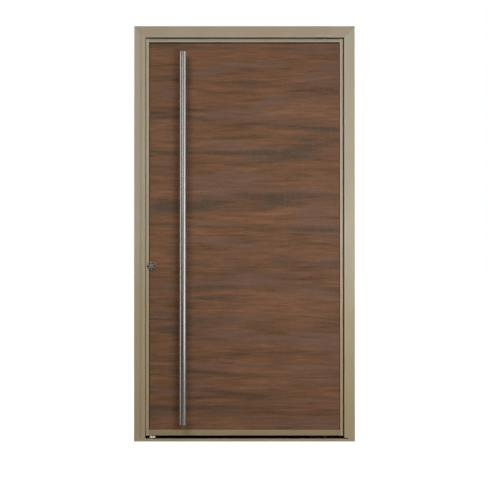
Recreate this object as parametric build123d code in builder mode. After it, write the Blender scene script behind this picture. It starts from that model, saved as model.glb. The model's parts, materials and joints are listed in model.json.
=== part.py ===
from build123d import *
import math
import os

os.makedirs("parts", exist_ok=True)

# Millimetres. X runs right as seen from the street, Y towards the inside, Z up.
# The origin is on the floor, under the middle of the threshold, level with the pivot.

# Frame
frame_width = 1318
frame_height = 2480
frame_face = 64
head_face = 66
frame_front = -50
frame_back = 50
rebate = 16
break_inset = 6
strip_width = 25
strip_step = 3
strip_slope = 9
reveal_radius = 3
strip_lift = 5

# Threshold, which carries both jambs
threshold_height = 17
threshold_base_height = 6
nosing_wall = 6
nosing_radius = 4

# Leaf
leaf_front = -38
leaf_back = 42
gap_side = 6
gap_top = 8
gap_bottom = 17
rim_width = 17.5
rim_top = 20
rim_radius = 2.5
bottom_rail_face = 34
stile_width = 58
rail_depth = 72
panel_recess = 5.5
panel_thickness = 6
panel_seal_lock_side = 7
panel_seal_pivot_side = 4
panel_seal_top = 7
panel_seal_depth = 2

# Seals: each lies on its stop, and stays clear of the moving leaf
seal_thickness = 5
seal_clearance = 5
drop_seal_width = 12
drop_seal_drop = 12
drop_seal_groove = 8
drop_seal_inset = 1
drop_seal_end_gap = 8
drop_seal_lap = 20
pivot_seal_line = 24
pivot_seal_end = 28

# Pivot, whose axis stands in the plane y = 0
pivot_inset = 108
turn_radius = 93
turn_clearance = 5
spindle_radius = 8
bore_clearance = 0.05
spindle_length = 55
collar_radius = 15
collar_height = 9
floor_pivot_length = 120
shoe_width = 28
shoe_height = 44
shoe_tail = 80
shoe_nose = 38
boss_radius = 40
pin_length = 34
pin_end_gap = 1
socket_height = 36

# Pull bar
bar_radius = 20
bar_wall = 2
bar_low_end = 73
bar_high_end = 87
bar_inset = 224
bar_projection = 90
bar_cap_depth = 6
bar_fit = 0.02
standoff_radius = 11
standoff_end_distance = 260

# Lock, on the stile away from the pivot
lock_backset = 49
lock_z = 1045
lever_rise = 92
lock_line = 24
rosette_radius = 26
rosette_thickness = 11.5
rosette_chamfer = 2.5
rosette_fit = 0.3
cylinder_radius = 8.5
cylinder_leg = 10
cylinder_height = 33
cylinder_overhang = 2
cylinder_fit = 0.4
key_plug_radius = 6.5
key_plug_proud = 0.6
keyway_width = 2
keyway_height = 8
keyway_depth = 4
faceplate_width = 24
faceplate_thickness = 3
faceplate_length = 1770
bolt_width = 14
bolt_depth = 20
bolt_fit = 0.3
latch_height = 32
latch_bevel = 9
dead_bolt_height = 60
dead_bolt_drop = 60
hook_height = 50
hook_offset = 720
strike_margin = 30
lever_radius = 10
lever_reach = 40
lever_length = 125
knob_stem_radius = 6
knob_stem = 8
knob_width = 12
knob_height = 30
knob_depth = 18

# Fixing holes through both jambs
fixing_radius = 4
fixing_line = 43
fixing_low = 150
fixing_head_gap = 230
fixing_count = 4

# Run-up block under the lock corner
block_inset = 40
block_width = 38
block_depth = 24
block_clearance = 5
block_hump = 8

# Places that follow from the sizes above
half_width = frame_width / 2
reveal = half_width - frame_face
head_low = frame_height - head_face
stop_front = -seal_thickness - seal_clearance
stop_back = -stop_front
leaf_edge = reveal - gap_side
leaf_low = threshold_height + gap_bottom
leaf_high = head_low - gap_top
pivot_x = leaf_edge - pivot_inset
seat = panel_recess + panel_thickness
turn_gap_radius = turn_radius + turn_clearance
turn_back_reach = math.sqrt(turn_radius**2 - leaf_back**2)
rim_inner = leaf_edge - rim_width
stile_inner = leaf_edge - stile_width
back_rim_inner = pivot_x + turn_back_reach - rim_width
panel_low = leaf_low + bottom_rail_face
panel_high = leaf_high - rim_top
core_low = leaf_low + rail_depth
core_high = leaf_high - stile_width
raised_end = pivot_x - boss_radius - turn_clearance
shoe_low = pivot_x - shoe_tail
shoe_high = pivot_x + shoe_nose
drop_seal_end = shoe_low - drop_seal_end_gap
pivot_seal_low = pivot_seal_line - drop_seal_width / 2
pivot_seal_start = drop_seal_end - drop_seal_lap
pivot_seal_stop = leaf_edge - pivot_seal_end
bar_x = -leaf_edge + bar_inset
bar_y = leaf_front - bar_projection + bar_radius
bar_bottom = leaf_low + bar_low_end
bar_length = leaf_high - bar_high_end - bar_bottom
panel_front = leaf_front + panel_recess
panel_back = leaf_back - panel_recess
lock_edge = -leaf_edge - rebate
drop_seal_start = lock_edge + drop_seal_inset
lock_x = lock_edge + lock_backset
lever_z = lock_z + lever_rise
round_z = lock_z + cylinder_height / 2 - cylinder_radius
block_x = -leaf_edge + block_inset
block_height = gap_bottom - block_clearance
fixing_step = (frame_height - fixing_head_gap - fixing_low) / (fixing_count - 1)
standoff_heights = (
    bar_bottom + standoff_end_distance,
    bar_bottom + bar_length / 2,
    bar_bottom + bar_length - standoff_end_distance,
)
hook_heights = (lock_z - hook_offset, lock_z + hook_offset)


def front_plane(y):
    # An upright plane at depth y that faces the street, with X to the right and Z up
    return Plane(origin=(0, y, 0), x_dir=(1, 0, 0), z_dir=(0, -1, 0))


def rectangle(low_u, high_u, low_v, high_v, mode=Mode.ADD):
    # A rectangle in the current sketch from its two corners
    with Locations(((low_u + high_u) / 2, (low_v + high_v) / 2)):
        Rectangle(high_u - low_u, high_v - low_v, mode=mode)


def upright(low_x, high_x, low_y, high_y, low_z, high_z, mode=Mode.ADD):
    # A straight post, drawn in plan and drawn up
    with BuildSketch(Plane.XY.offset(low_z)) as plan:
        rectangle(low_x, high_x, low_y, high_y)
    extrude(plan.sketch, amount=high_z - low_z, mode=mode)


def finish(piece, name):
    piece.part.label = name
    export_step(piece.part, f"parts/{name}.step")


def mitre(side):
    # The plane through a top corner of the frame; its normal points down and outwards
    return Plane(origin=(side * reveal, 0, head_low), x_dir=(0, 1, 0), z_dir=(side, 0, -1))


def fixing_holes(side):
    # Clearance holes across a jamb, one for each wall screw
    with BuildSketch(Plane.YZ) as holes:
        for index in range(fixing_count):
            with Locations((fixing_line, fixing_low + index * fixing_step)):
                Circle(fixing_radius)
    extrude(holes.sketch, amount=side * (half_width + 1), mode=Mode.SUBTRACT)


def round_corner(section, u, v, radius):
    # Rounds the corner of a section that lies nearest to a point
    fillet(section.vertices().sort_by_distance((u, v))[0], radius)


def outer_jamb(side, lift, name):
    # The shell towards the street: a proud strip beside the leaf slopes down to a plain band.
    # The strip may end above the sill.
    with BuildPart() as jamb:
        with BuildSketch(Plane.XY.offset(threshold_height)) as section:
            near, far = sorted((side * reveal, side * half_width))
            rectangle(near, far, frame_front, stop_front)
            edge = side * (reveal + strip_width)
            low, high = sorted((edge, side * half_width))
            rectangle(low, high, frame_front, frame_front + strip_step, Mode.SUBTRACT)
            with BuildLine():
                shoulder = (edge - side * strip_slope, frame_front)
                Polyline(shoulder, (edge, frame_front), (edge, frame_front + strip_step), close=True)
            make_face(mode=Mode.SUBTRACT)
            round_corner(section, side * reveal, frame_front, reveal_radius)
        extrude(amount=frame_height - threshold_height)
        split(bisect_by=mitre(side), keep=Keep.TOP)
        if lift > 0:
            top = threshold_height + lift
            near, far = reveal, reveal + strip_width
            upright(near, far, frame_front, stop_front, threshold_height, top, Mode.SUBTRACT)
    finish(jamb, name)


def jamb_break(low_x, high_x, name):
    # The plastic core between the two metal shells of a jamb
    with BuildPart() as core:
        high_z = frame_height - break_inset
        upright(low_x, high_x, stop_front, stop_back, threshold_height, high_z)
    finish(core, name)


def lock_bolt_places():
    # Height of the middle and full height of each bolt
    places = [(lever_z, latch_height), (lock_z - dead_bolt_drop, dead_bolt_height)]
    return places + [(z, hook_height) for z in hook_heights]


def bolt_pockets(face_x, depth, fit):
    # Pockets for the bolts, cut from an upright face towards the left or right
    with BuildSketch(Plane.YZ.offset(face_x)) as pockets:
        for z, height in lock_bolt_places():
            with Locations((lock_line, z)):
                Rectangle(bolt_width + 2 * fit, height + 2 * fit)
    extrude(pockets.sketch, amount=depth, mode=Mode.SUBTRACT)


def strike_places():
    # Height of the middle and full height of the main plate and the two hook plates
    low = lock_z - dead_bolt_drop - dead_bolt_height / 2 - strike_margin
    high = lever_z + latch_height / 2 + strike_margin
    main = ((low + high) / 2, high - low)
    return [main] + [(z, hook_height + 2 * strike_margin) for z in hook_heights]


def jamb_lock_inner():
    with BuildPart() as jamb:
        face = -reveal - rebate
        upright(-half_width, face, stop_back, frame_back, threshold_height, frame_height)
        with BuildSketch(Plane.YZ.offset(face)):
            for z, height in strike_places():
                with Locations((lock_line, z)):
                    Rectangle(faceplate_width, height)
        extrude(amount=-faceplate_thickness, mode=Mode.SUBTRACT)
        bolt_pockets(face, -bolt_depth - faceplate_thickness, bolt_fit)
        fixing_holes(-1)
    finish(jamb, "jamb_lock_inner")


def strike_plates(places, name):
    face = -reveal - rebate
    with BuildPart() as plates:
        with BuildSketch(Plane.YZ.offset(face)):
            for z, height in places:
                with Locations((lock_line, z)):
                    Rectangle(faceplate_width, height)
        extrude(amount=-faceplate_thickness)
        bolt_pockets(face, -faceplate_thickness, bolt_fit)
    finish(plates, name)


def jamb_pivot_inner():
    # The stop lip is hollowed about the pivot axis, so the turning leaf keeps its distance
    with BuildPart() as jamb:
        upright(reveal, half_width, stop_back, frame_back, threshold_height, frame_height)
        with BuildSketch(Plane.XY.offset(threshold_height)):
            rectangle(pivot_x, reveal, stop_back, frame_back)
            with Locations((pivot_x, 0)):
                Circle(turn_gap_radius, mode=Mode.SUBTRACT)
        extrude(amount=head_low - threshold_height)
        fixing_holes(1)
    finish(jamb, "jamb_pivot_inner")


def head_outer():
    with BuildPart() as head:
        with BuildSketch(Plane.YZ.offset(-half_width)) as section:
            rectangle(frame_front, stop_front, head_low, frame_height)
            round_corner(section, frame_front, head_low, reveal_radius)
        extrude(amount=frame_width)
        split(bisect_by=mitre(1), keep=Keep.BOTTOM)
        split(bisect_by=mitre(-1), keep=Keep.BOTTOM)
    finish(head, "head_outer")


def head_break():
    with BuildPart() as core:
        low = head_low + rebate
        upright(-reveal - rebate, reveal, stop_front, stop_back, low, frame_height - break_inset)
    finish(core, "head_break")


def head_inner():
    # Hangs lower over the short side of the leaf, which swings the other way
    with BuildPart() as head:
        upright(-reveal - rebate, reveal, stop_back, frame_back, head_low + rebate, frame_height)
        lip = pivot_x + leaf_back + 2 * turn_clearance
        upright(lip, reveal, stop_back, frame_back, head_low, head_low + rebate)
    finish(head, "head_inner")


def threshold():
    # A plastic base that shows on top, with a metal nosing before it and a metal sill behind
    nose = frame_front + nosing_wall
    with BuildPart() as base:
        upright(-half_width, half_width, nose, frame_back, 0, threshold_base_height)
        upright(-half_width, half_width, nose, stop_front, threshold_base_height, threshold_height)
    finish(base, "threshold_base")

    with BuildPart() as nosing:
        with BuildSketch(Plane.YZ.offset(-half_width)) as section:
            rectangle(frame_front, nose, 0, threshold_height)
            round_corner(section, frame_front, threshold_height, nosing_radius)
        extrude(amount=frame_width)
    finish(nosing, "threshold_nosing")

    with BuildPart() as core:
        half = floor_pivot_length / 2
        for low, high in ((-half_width, pivot_x - half), (pivot_x + half, half_width)):
            upright(low, high, stop_front, stop_back, threshold_base_height, threshold_height)
    finish(core, "threshold_break")

    with BuildPart() as inner:
        with BuildSketch(Plane.YZ.offset(-half_width)) as section:
            rectangle(stop_back, frame_back, threshold_base_height, threshold_height)
            round_corner(section, frame_back, threshold_height, nosing_radius)
        extrude(amount=frame_width)
    finish(inner, "threshold_inner")


def seals():
    face = stop_front + seal_thickness
    with BuildPart() as lock_seal:
        upright(-reveal - rebate, -reveal, stop_front, face, threshold_height, head_low)
    finish(lock_seal, "seal_lock_jamb")

    with BuildPart() as head_seal:
        high = head_low + rebate
        upright(-reveal - rebate, reveal, stop_front, face, head_low, high)
    finish(head_seal, "seal_head")

    with BuildPart() as pivot_seal:
        low = stop_back - seal_thickness
        near = pivot_x + turn_gap_radius
        upright(near, reveal, low, stop_back, threshold_height, head_low)
    finish(pivot_seal, "seal_pivot_jamb")


def floor_pivot():
    # Body let into the threshold, a collar and the spindle that carries the leaf
    with BuildPart() as pivot:
        half = floor_pivot_length / 2
        low, high = pivot_x - half, pivot_x + half
        upright(low, high, stop_front, stop_back, threshold_base_height, threshold_height)
        with BuildSketch(Plane.XY.offset(threshold_height)):
            with Locations((pivot_x, 0)):
                Circle(collar_radius)
        extrude(amount=collar_height)
        with BuildSketch(Plane.XY.offset(threshold_height)):
            with Locations((pivot_x, 0)):
                Circle(spindle_radius)
        extrude(amount=spindle_length)
    finish(pivot, "floor_pivot")


def head_pivot():
    # Boss behind the head seal, flat on that side, with the pin that guides the leaf
    with BuildPart() as pivot:
        with BuildSketch(Plane.XY.offset(head_low)):
            with Locations((pivot_x, 0)):
                Circle(boss_radius)
            face = stop_front + seal_thickness
            low, high = pivot_x - boss_radius, pivot_x + boss_radius
            rectangle(low, high, -boss_radius, face, Mode.SUBTRACT)
        extrude(amount=rebate)
        with BuildSketch(Plane.XY.offset(head_low - pin_length)):
            with Locations((pivot_x, 0)):
                Circle(spindle_radius)
        extrude(amount=pin_length)
    finish(pivot, "head_pivot")


def run_up_block():
    # Two humps on a base, on which the lock corner of the leaf runs up
    with BuildPart() as block:
        middle = (frame_front + stop_front) / 2
        with BuildSketch(front_plane(middle - block_depth / 2)):
            low = threshold_height
            half = block_width / 2
            hump_z = low + block_height - block_hump
            rectangle(block_x - half, block_x + half, low, hump_z)
            with Locations(
                (block_x - half + block_hump, hump_z),
                (block_x + half - block_hump, hump_z),
            ):
                Circle(block_hump)
            rectangle(block_x - half, block_x + half, low - block_hump, low, Mode.SUBTRACT)
        extrude(amount=-block_depth)
    finish(block, "run_up_block")


def seal_groove(low_x, high_x, low_y):
    # A groove under the leaf, in which a drop seal sits
    high_y = low_y + drop_seal_width
    top = leaf_low + drop_seal_groove
    upright(low_x, high_x, low_y, high_y, leaf_low, top, Mode.SUBTRACT)


def stile_lock_side():
    with BuildPart() as stile:
        with BuildSketch(Plane.XY.offset(leaf_low)) as section:
            rectangle(-leaf_edge, -stile_inner, leaf_front, leaf_back)
            rectangle(lock_edge, -leaf_edge, 0, leaf_back)
            rectangle(-rim_inner, -stile_inner, leaf_front, leaf_front + seat, Mode.SUBTRACT)
            rectangle(-rim_inner, -stile_inner, leaf_back - seat, leaf_back, Mode.SUBTRACT)
            round_corner(section, -leaf_edge, leaf_front, rim_radius)
            round_corner(section, -rim_inner, leaf_front, rim_radius)
            round_corner(section, -rim_inner, leaf_back, rim_radius)
            round_corner(section, lock_edge, leaf_back, rim_radius)
        extrude(amount=leaf_high - leaf_low)
        with BuildSketch(Plane.XY.offset(leaf_high)) as raised:
            rectangle(lock_edge, -stile_inner, 0, leaf_back)
            round_corner(raised, lock_edge, leaf_back, rim_radius)
        extrude(amount=rebate)
        seal_groove(drop_seal_start, -stile_inner, 0)
        cut_faceplate_recess()
        bolt_pockets(lock_edge, bolt_depth, bolt_fit)
        cut_lock_holes()
    finish(stile, "stile_lock_side")


def cut_faceplate_recess():
    with BuildSketch(Plane.YZ.offset(lock_edge)) as recess:
        with Locations((lock_line, lock_z)):
            Rectangle(faceplate_width, faceplate_length)
    extrude(recess.sketch, amount=faceplate_thickness, mode=Mode.SUBTRACT)


def cylinder_profile(fit=0.0):
    # Round top and narrow leg, centred on the lock height
    leg_radius = cylinder_leg / 2
    leg_z = lock_z - cylinder_height / 2 + leg_radius
    with Locations((lock_x, round_z)):
        Circle(cylinder_radius + fit)
    rectangle(lock_x - leg_radius - fit, lock_x + leg_radius + fit, leg_z, round_z)
    with Locations((lock_x, leg_z)):
        Circle(leg_radius + fit)


def cut_lock_holes():
    # The cylinder's way through the leaf, and the seats of the outer and inner rosettes
    with BuildSketch(front_plane(leaf_front - 1)) as way:
        cylinder_profile(cylinder_fit)
    extrude(way.sketch, amount=-(leaf_back - leaf_front + 2), mode=Mode.SUBTRACT)
    with BuildSketch(front_plane(leaf_front)) as outer_seat:
        with Locations((lock_x, lock_z)):
            Circle(rosette_radius + rosette_fit)
    extrude(outer_seat.sketch, amount=-panel_recess, mode=Mode.SUBTRACT)
    with BuildSketch(front_plane(panel_back)) as inner_seats:
        with Locations((lock_x, lock_z), (lock_x, lever_z)):
            Circle(rosette_radius + rosette_fit)
    extrude(inner_seats.sketch, amount=-panel_recess, mode=Mode.SUBTRACT)


def stile_pivot_side():
    # The back half is turned to a round edge about the pivot axis
    with BuildPart() as stile:
        with BuildSketch(Plane.XY.offset(leaf_low)) as section:
            rectangle(stile_inner, leaf_edge, leaf_front, 0)
            with BuildLine():
                swing = CenterArc(
                    center=(pivot_x, 0),
                    radius=turn_radius,
                    start_angle=0,
                    arc_size=math.degrees(math.asin(leaf_back / turn_radius)),
                )
                Polyline(swing @ 1, (stile_inner, leaf_back), (stile_inner, 0), swing @ 0)
            make_face()
            rectangle(stile_inner, rim_inner, leaf_front, leaf_front + seat, Mode.SUBTRACT)
            rectangle(stile_inner, back_rim_inner, leaf_back - seat, leaf_back, Mode.SUBTRACT)
            round_corner(section, leaf_edge, leaf_front, rim_radius)
            round_corner(section, rim_inner, leaf_front, rim_radius)
            round_corner(section, back_rim_inner, leaf_back, rim_radius)
        extrude(amount=leaf_high - leaf_low)
        seal_groove(stile_inner, pivot_seal_stop, pivot_seal_low)
    finish(stile, "stile_pivot_side")


def rail_bar(low_x, high_x, face_y, seat_y, low_z, high_z):
    # The part of a rail that shows beside a panel, with both long edges rounded
    with BuildSketch(Plane.YZ.offset(low_x)) as section:
        near, far = sorted((face_y, seat_y))
        rectangle(near, far, low_z, high_z)
        round_corner(section, face_y, low_z, rim_radius)
        round_corner(section, face_y, high_z, rim_radius)
    extrude(section.sketch, amount=high_x - low_x)


def rail_bottom():
    with BuildPart() as rail:
        seat_front = leaf_front + seat
        seat_back = leaf_back - seat
        upright(-stile_inner, stile_inner, seat_front, seat_back, leaf_low, core_low)
        rail_bar(-rim_inner, rim_inner, leaf_front, seat_front, leaf_low, panel_low)
        rail_bar(-rim_inner, back_rim_inner, leaf_back, seat_back, leaf_low, panel_low)
        half = shoe_width / 2
        top = leaf_low + shoe_height
        upright(shoe_low, shoe_high, -half, half, leaf_low, top, Mode.SUBTRACT)
        seal_groove(-stile_inner, drop_seal_end, 0)
        seal_groove(pivot_seal_start, stile_inner, pivot_seal_low)
    finish(rail, "rail_bottom")


def drop_seal(low_x, high_x, low_y, name):
    with BuildPart() as seal:
        low, high = leaf_low - drop_seal_drop, leaf_low + drop_seal_groove
        upright(low_x, high_x, low_y, low_y + drop_seal_width, low, high)
    finish(seal, name)


def pivot_shoe():
    with BuildPart() as shoe:
        half = shoe_width / 2
        upright(shoe_low, shoe_high, -half, half, leaf_low, leaf_low + shoe_height)
        depth = threshold_height + spindle_length - leaf_low
        with BuildSketch(Plane.XY.offset(leaf_low)):
            with Locations((pivot_x, 0)):
                Circle(spindle_radius + bore_clearance)
        extrude(amount=depth, mode=Mode.SUBTRACT)
    finish(shoe, "pivot_shoe")


def rail_top():
    # Its back half stands up behind the head, and ends short of the top pivot
    with BuildPart() as rail:
        seat_front = leaf_front + seat
        seat_back = leaf_back - seat
        upright(-stile_inner, stile_inner, seat_front, seat_back, core_high, leaf_high)
        rail_bar(-rim_inner, rim_inner, leaf_front, seat_front, panel_high, leaf_high)
        upright(-rim_inner, back_rim_inner, seat_back, leaf_back, panel_high, leaf_high)
        upright(-stile_inner, raised_end, 0, leaf_back, leaf_high, leaf_high + rebate)
        half = shoe_width / 2
        low, high = pivot_x - shoe_nose, pivot_x + shoe_nose
        upright(low, high, -half, half, leaf_high - socket_height, leaf_high, Mode.SUBTRACT)
    finish(rail, "rail_top")


def top_socket():
    with BuildPart() as socket:
        half = shoe_width / 2
        low, high = pivot_x - shoe_nose, pivot_x + shoe_nose
        upright(low, high, -half, half, leaf_high - socket_height, leaf_high)
        with BuildSketch(Plane.XY.offset(leaf_high)):
            with Locations((pivot_x, 0)):
                Circle(spindle_radius + bore_clearance)
        extrude(amount=-(pin_length - gap_top + pin_end_gap), mode=Mode.SUBTRACT)
    finish(socket, "top_socket")


def leaf_core():
    with BuildPart() as core:
        low, high = leaf_front + seat, leaf_back - seat
        upright(-stile_inner, stile_inner, low, high, core_low, core_high)
    finish(core, "leaf_core")


def panel(low_x, high_x, face_y, back_y, name):
    # A veneered sheet that leaves room for its seal at both sides and at the top
    high_z = panel_high - panel_seal_top
    with BuildPart() as sheet:
        low_y, high_y = sorted((face_y, back_y))
        low, high = low_x + panel_seal_lock_side, high_x - panel_seal_pivot_side
        upright(low, high, low_y, high_y, panel_low, high_z)
        with BuildSketch(front_plane(low_y)):
            cylinder_profile(cylinder_fit)
        extrude(amount=low_y - high_y, mode=Mode.SUBTRACT)
    finish(sheet, name)


def panel_seal(low_x, high_x, face_y, back_y, rosettes, name):
    # A strip round three sides of a panel, lower than its face and broken at each rosette
    with BuildPart() as seal:
        with BuildSketch(front_plane(min(face_y, back_y))):
            rectangle(low_x, high_x, panel_low, panel_high)
            low, high = low_x + panel_seal_lock_side, high_x - panel_seal_pivot_side
            rectangle(low, high, panel_low, panel_high - panel_seal_top, Mode.SUBTRACT)
            with Locations(*[(lock_x, z) for z in rosettes]):
                Circle(rosette_radius + rosette_fit, mode=Mode.SUBTRACT)
        extrude(amount=-abs(face_y - back_y))
    finish(seal, name)


def lock_faceplate():
    with BuildPart() as plate:
        with BuildSketch(Plane.YZ.offset(lock_edge)):
            with Locations((lock_line, lock_z)):
                Rectangle(faceplate_width, faceplate_length)
        extrude(amount=faceplate_thickness)
        bolt_pockets(lock_edge, faceplate_thickness, bolt_fit)
    finish(plate, "lock_faceplate")


def bolts():
    # All bolts are drawn back, flush with the faceplate
    places = lock_bolt_places()
    groups = {"latch_bolt": places[:1], "dead_bolt": places[1:2], "hook_bolts": places[2:]}
    for name, group in groups.items():
        with BuildPart() as bolt:
            with BuildSketch(Plane.YZ.offset(lock_edge)):
                for z, height in group:
                    with Locations((lock_line, z)):
                        Rectangle(bolt_width, height)
            extrude(amount=bolt_depth)
            if name == "latch_bolt":
                nose = bolt.faces().sort_by(Axis.X)[0].edges().sort_by(Axis.Y)[-1]
                chamfer(nose, latch_bevel)
        finish(bolt, name)


def lock_cylinder():
    with BuildPart() as cylinder:
        front = panel_front - rosette_thickness - cylinder_overhang
        back = panel_back + rosette_thickness + cylinder_overhang
        with BuildSketch(front_plane(front)):
            cylinder_profile()
        extrude(amount=-(back - front))
        with BuildSketch(front_plane(front)):
            with Locations((lock_x, round_z)):
                Circle(key_plug_radius)
        extrude(amount=key_plug_proud)
        with BuildSketch(front_plane(front - key_plug_proud)):
            with Locations((lock_x, round_z)):
                Rectangle(keyway_width, keyway_height)
        extrude(amount=-keyway_depth, mode=Mode.SUBTRACT)
    finish(cylinder, "lock_cylinder")


def rosette(face_y, outward, z, hole, name):
    # A low disc with a bevelled edge; outward is -1 to the street and 1 to the inside
    with BuildPart() as disc:
        with BuildSketch(front_plane(face_y)):
            with Locations((lock_x, z)):
                Circle(rosette_radius)
        extrude(amount=-outward * rosette_thickness)
        if hole:
            with BuildSketch(front_plane(face_y)):
                cylinder_profile(cylinder_fit)
            extrude(amount=-outward * rosette_thickness, mode=Mode.SUBTRACT)
        rim = disc.edges().filter_by(GeomType.CIRCLE).filter_by(
            lambda edge: abs(edge.radius - rosette_radius) < 0.01
        )
        chamfer(rim.sort_by(Axis.Y)[-1 if outward > 0 else 0], rosette_chamfer)
    finish(disc, name)


def thumb_turn():
    with BuildPart() as knob:
        face = panel_back + rosette_thickness + cylinder_overhang
        with BuildSketch(front_plane(face)):
            with Locations((lock_x, round_z)):
                Circle(knob_stem_radius)
        extrude(amount=-knob_stem)
        with BuildSketch(front_plane(face + knob_stem)):
            with Locations((lock_x, round_z)):
                SlotOverall(knob_height, knob_width, rotation=90)
        extrude(amount=-knob_depth)
    finish(knob, "thumb_turn")


def lever_handle():
    # A round bar, mitred where it turns from the rosette towards the middle of the leaf
    face = panel_back + rosette_thickness
    with BuildPart() as lever:
        with BuildLine(Plane.XY.offset(lever_z)):
            Polyline(
                (lock_x, face),
                (lock_x, face + lever_reach),
                (lock_x + lever_length, face + lever_reach),
            )
        with BuildSketch(Plane(origin=(lock_x, face, lever_z), z_dir=(0, 1, 0))):
            Circle(lever_radius)
        sweep(transition=Transition.RIGHT)
    finish(lever, "lever_handle")


def pull_bar():
    with BuildPart() as bar:
        with BuildSketch(Plane.XY.offset(bar_bottom + bar_cap_depth)):
            with Locations((bar_x, bar_y)):
                Circle(bar_radius)
                Circle(bar_radius - bar_wall, mode=Mode.SUBTRACT)
        extrude(amount=bar_length - 2 * bar_cap_depth)
    finish(bar, "pull_bar")

    for name, low in (
        ("bar_cap_bottom", bar_bottom),
        ("bar_cap_top", bar_bottom + bar_length - bar_cap_depth),
    ):
        with BuildPart() as cap:
            with BuildSketch(Plane.XY.offset(low)):
                with Locations((bar_x, bar_y)):
                    Circle(bar_radius)
            extrude(amount=bar_cap_depth)
        finish(cap, name)


def standoff(z, name):
    # A post from the panel to the bar, coped to the bar's round
    with BuildPart() as post:
        with BuildSketch(front_plane(panel_front)):
            with Locations((bar_x, z)):
                Circle(standoff_radius)
        extrude(amount=panel_front - bar_y)
        with BuildSketch(Plane.XY.offset(z - 2 * standoff_radius)):
            with Locations((bar_x, bar_y)):
                Circle(bar_radius + bar_fit)
        extrude(amount=4 * standoff_radius, mode=Mode.SUBTRACT)
    finish(post, name)


outer_jamb(-1, 0, "jamb_lock_outer")
jamb_break(-half_width + break_inset, -reveal - rebate, "jamb_lock_break")
jamb_lock_inner()
outer_jamb(1, strip_lift, "jamb_pivot_outer")
jamb_break(reveal, half_width - break_inset, "jamb_pivot_break")
jamb_pivot_inner()
head_outer()
head_break()
head_inner()
threshold()
seals()
strike_plates(strike_places()[:1], "strike_plate_main")
strike_plates(strike_places()[1:], "strike_plates_hook")
floor_pivot()
head_pivot()
run_up_block()

stile_lock_side()
stile_pivot_side()
rail_top()
rail_bottom()
drop_seal(drop_seal_start, drop_seal_end, 0, "drop_seal")
drop_seal(pivot_seal_start, pivot_seal_stop, pivot_seal_low, "drop_seal_pivot_side")
pivot_shoe()
top_socket()
leaf_core()
outer_seat = leaf_front + seat
inner_seat = leaf_back - seat
panel(-rim_inner, rim_inner, panel_front, outer_seat, "outer_panel")
panel(-rim_inner, back_rim_inner, panel_back, inner_seat, "inner_panel")
outer_face = panel_front + panel_seal_depth
inner_face = panel_back - panel_seal_depth
panel_seal(-rim_inner, rim_inner, outer_face, outer_seat, [lock_z], "panel_seal_outside")
panel_seal(
    -rim_inner, back_rim_inner, inner_face, inner_seat, [lock_z, lever_z], "panel_seal_inside"
)
lock_faceplate()
bolts()
lock_cylinder()
rosette(panel_front, -1, lock_z, True, "rosette_outside")
rosette(panel_back, 1, lock_z, True, "rosette_inside")
rosette(panel_back, 1, lever_z, False, "lever_rosette")
thumb_turn()
lever_handle()
pull_bar()
for name, z in zip(("standoff_bottom", "standoff_middle", "standoff_top"), standoff_heights):
    standoff(z, name)
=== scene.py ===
import bpy
import bmesh
import json
import math
import numpy as np
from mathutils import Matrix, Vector


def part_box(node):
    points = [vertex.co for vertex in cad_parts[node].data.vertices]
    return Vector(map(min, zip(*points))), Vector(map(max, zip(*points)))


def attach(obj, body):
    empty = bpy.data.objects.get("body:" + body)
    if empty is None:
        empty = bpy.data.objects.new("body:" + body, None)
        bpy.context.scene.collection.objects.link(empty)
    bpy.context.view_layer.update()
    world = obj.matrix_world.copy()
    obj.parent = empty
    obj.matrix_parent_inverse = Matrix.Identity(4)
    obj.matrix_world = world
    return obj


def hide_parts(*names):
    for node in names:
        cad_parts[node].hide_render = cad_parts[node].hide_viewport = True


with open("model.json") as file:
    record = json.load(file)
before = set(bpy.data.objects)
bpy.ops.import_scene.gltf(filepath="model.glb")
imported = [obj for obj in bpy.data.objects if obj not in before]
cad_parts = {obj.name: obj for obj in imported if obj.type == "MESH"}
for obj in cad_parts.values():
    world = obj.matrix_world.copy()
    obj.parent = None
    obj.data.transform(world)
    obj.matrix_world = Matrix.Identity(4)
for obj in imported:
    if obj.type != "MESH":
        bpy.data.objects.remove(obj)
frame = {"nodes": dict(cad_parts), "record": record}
nodes = frame["nodes"]
scene = bpy.context.scene
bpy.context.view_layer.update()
print("frame loaded,", len(nodes), "nodes")


# Small helpers for meshes

def newObject(name, data):
    # A new object in the scene
    made = bpy.data.objects.new(name, data)
    scene.collection.objects.link(made)
    return made


def addPiece(name, form, body, slot, finish, crease=32.0):
    # Makes a mesh of (points, faces), merges its seams and poles, turns its faces outwards
    points, faces = form
    mesh = bpy.data.meshes.new(name)
    mesh.from_pydata(np.asarray(points, float).reshape(-1, 3).tolist(), [], [list(f) for f in faces])
    work = bmesh.new()
    work.from_mesh(mesh)
    bmesh.ops.remove_doubles(work, verts=work.verts, dist=2e-6)
    bmesh.ops.dissolve_degenerate(work, dist=1e-6, edges=work.edges)
    bmesh.ops.recalc_face_normals(work, faces=work.faces)
    work.to_mesh(mesh)
    work.free()
    mesh.shade_smooth()
    mesh.set_sharp_from_angle(angle=math.radians(crease))
    mesh.materials.append(finishes[finish])
    made = newObject(name, mesh)
    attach(made, body)
    return made


def addSteel(node, ending, form, finish):
    # A stainless piece on the leaf that stands for a node
    piece = addPiece(node + ending, form, "leaf", "brushed_stainless", finish)
    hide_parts(node)


def middleOf(node):
    # The middle of a node's box
    low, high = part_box(node)
    return [(a + b) / 2 for a, b in zip(low, high)]


def ringAngles(count):
    # Angles spaced evenly round a circle
    return np.linspace(0, 2 * np.pi, count, endpoint=False)


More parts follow.
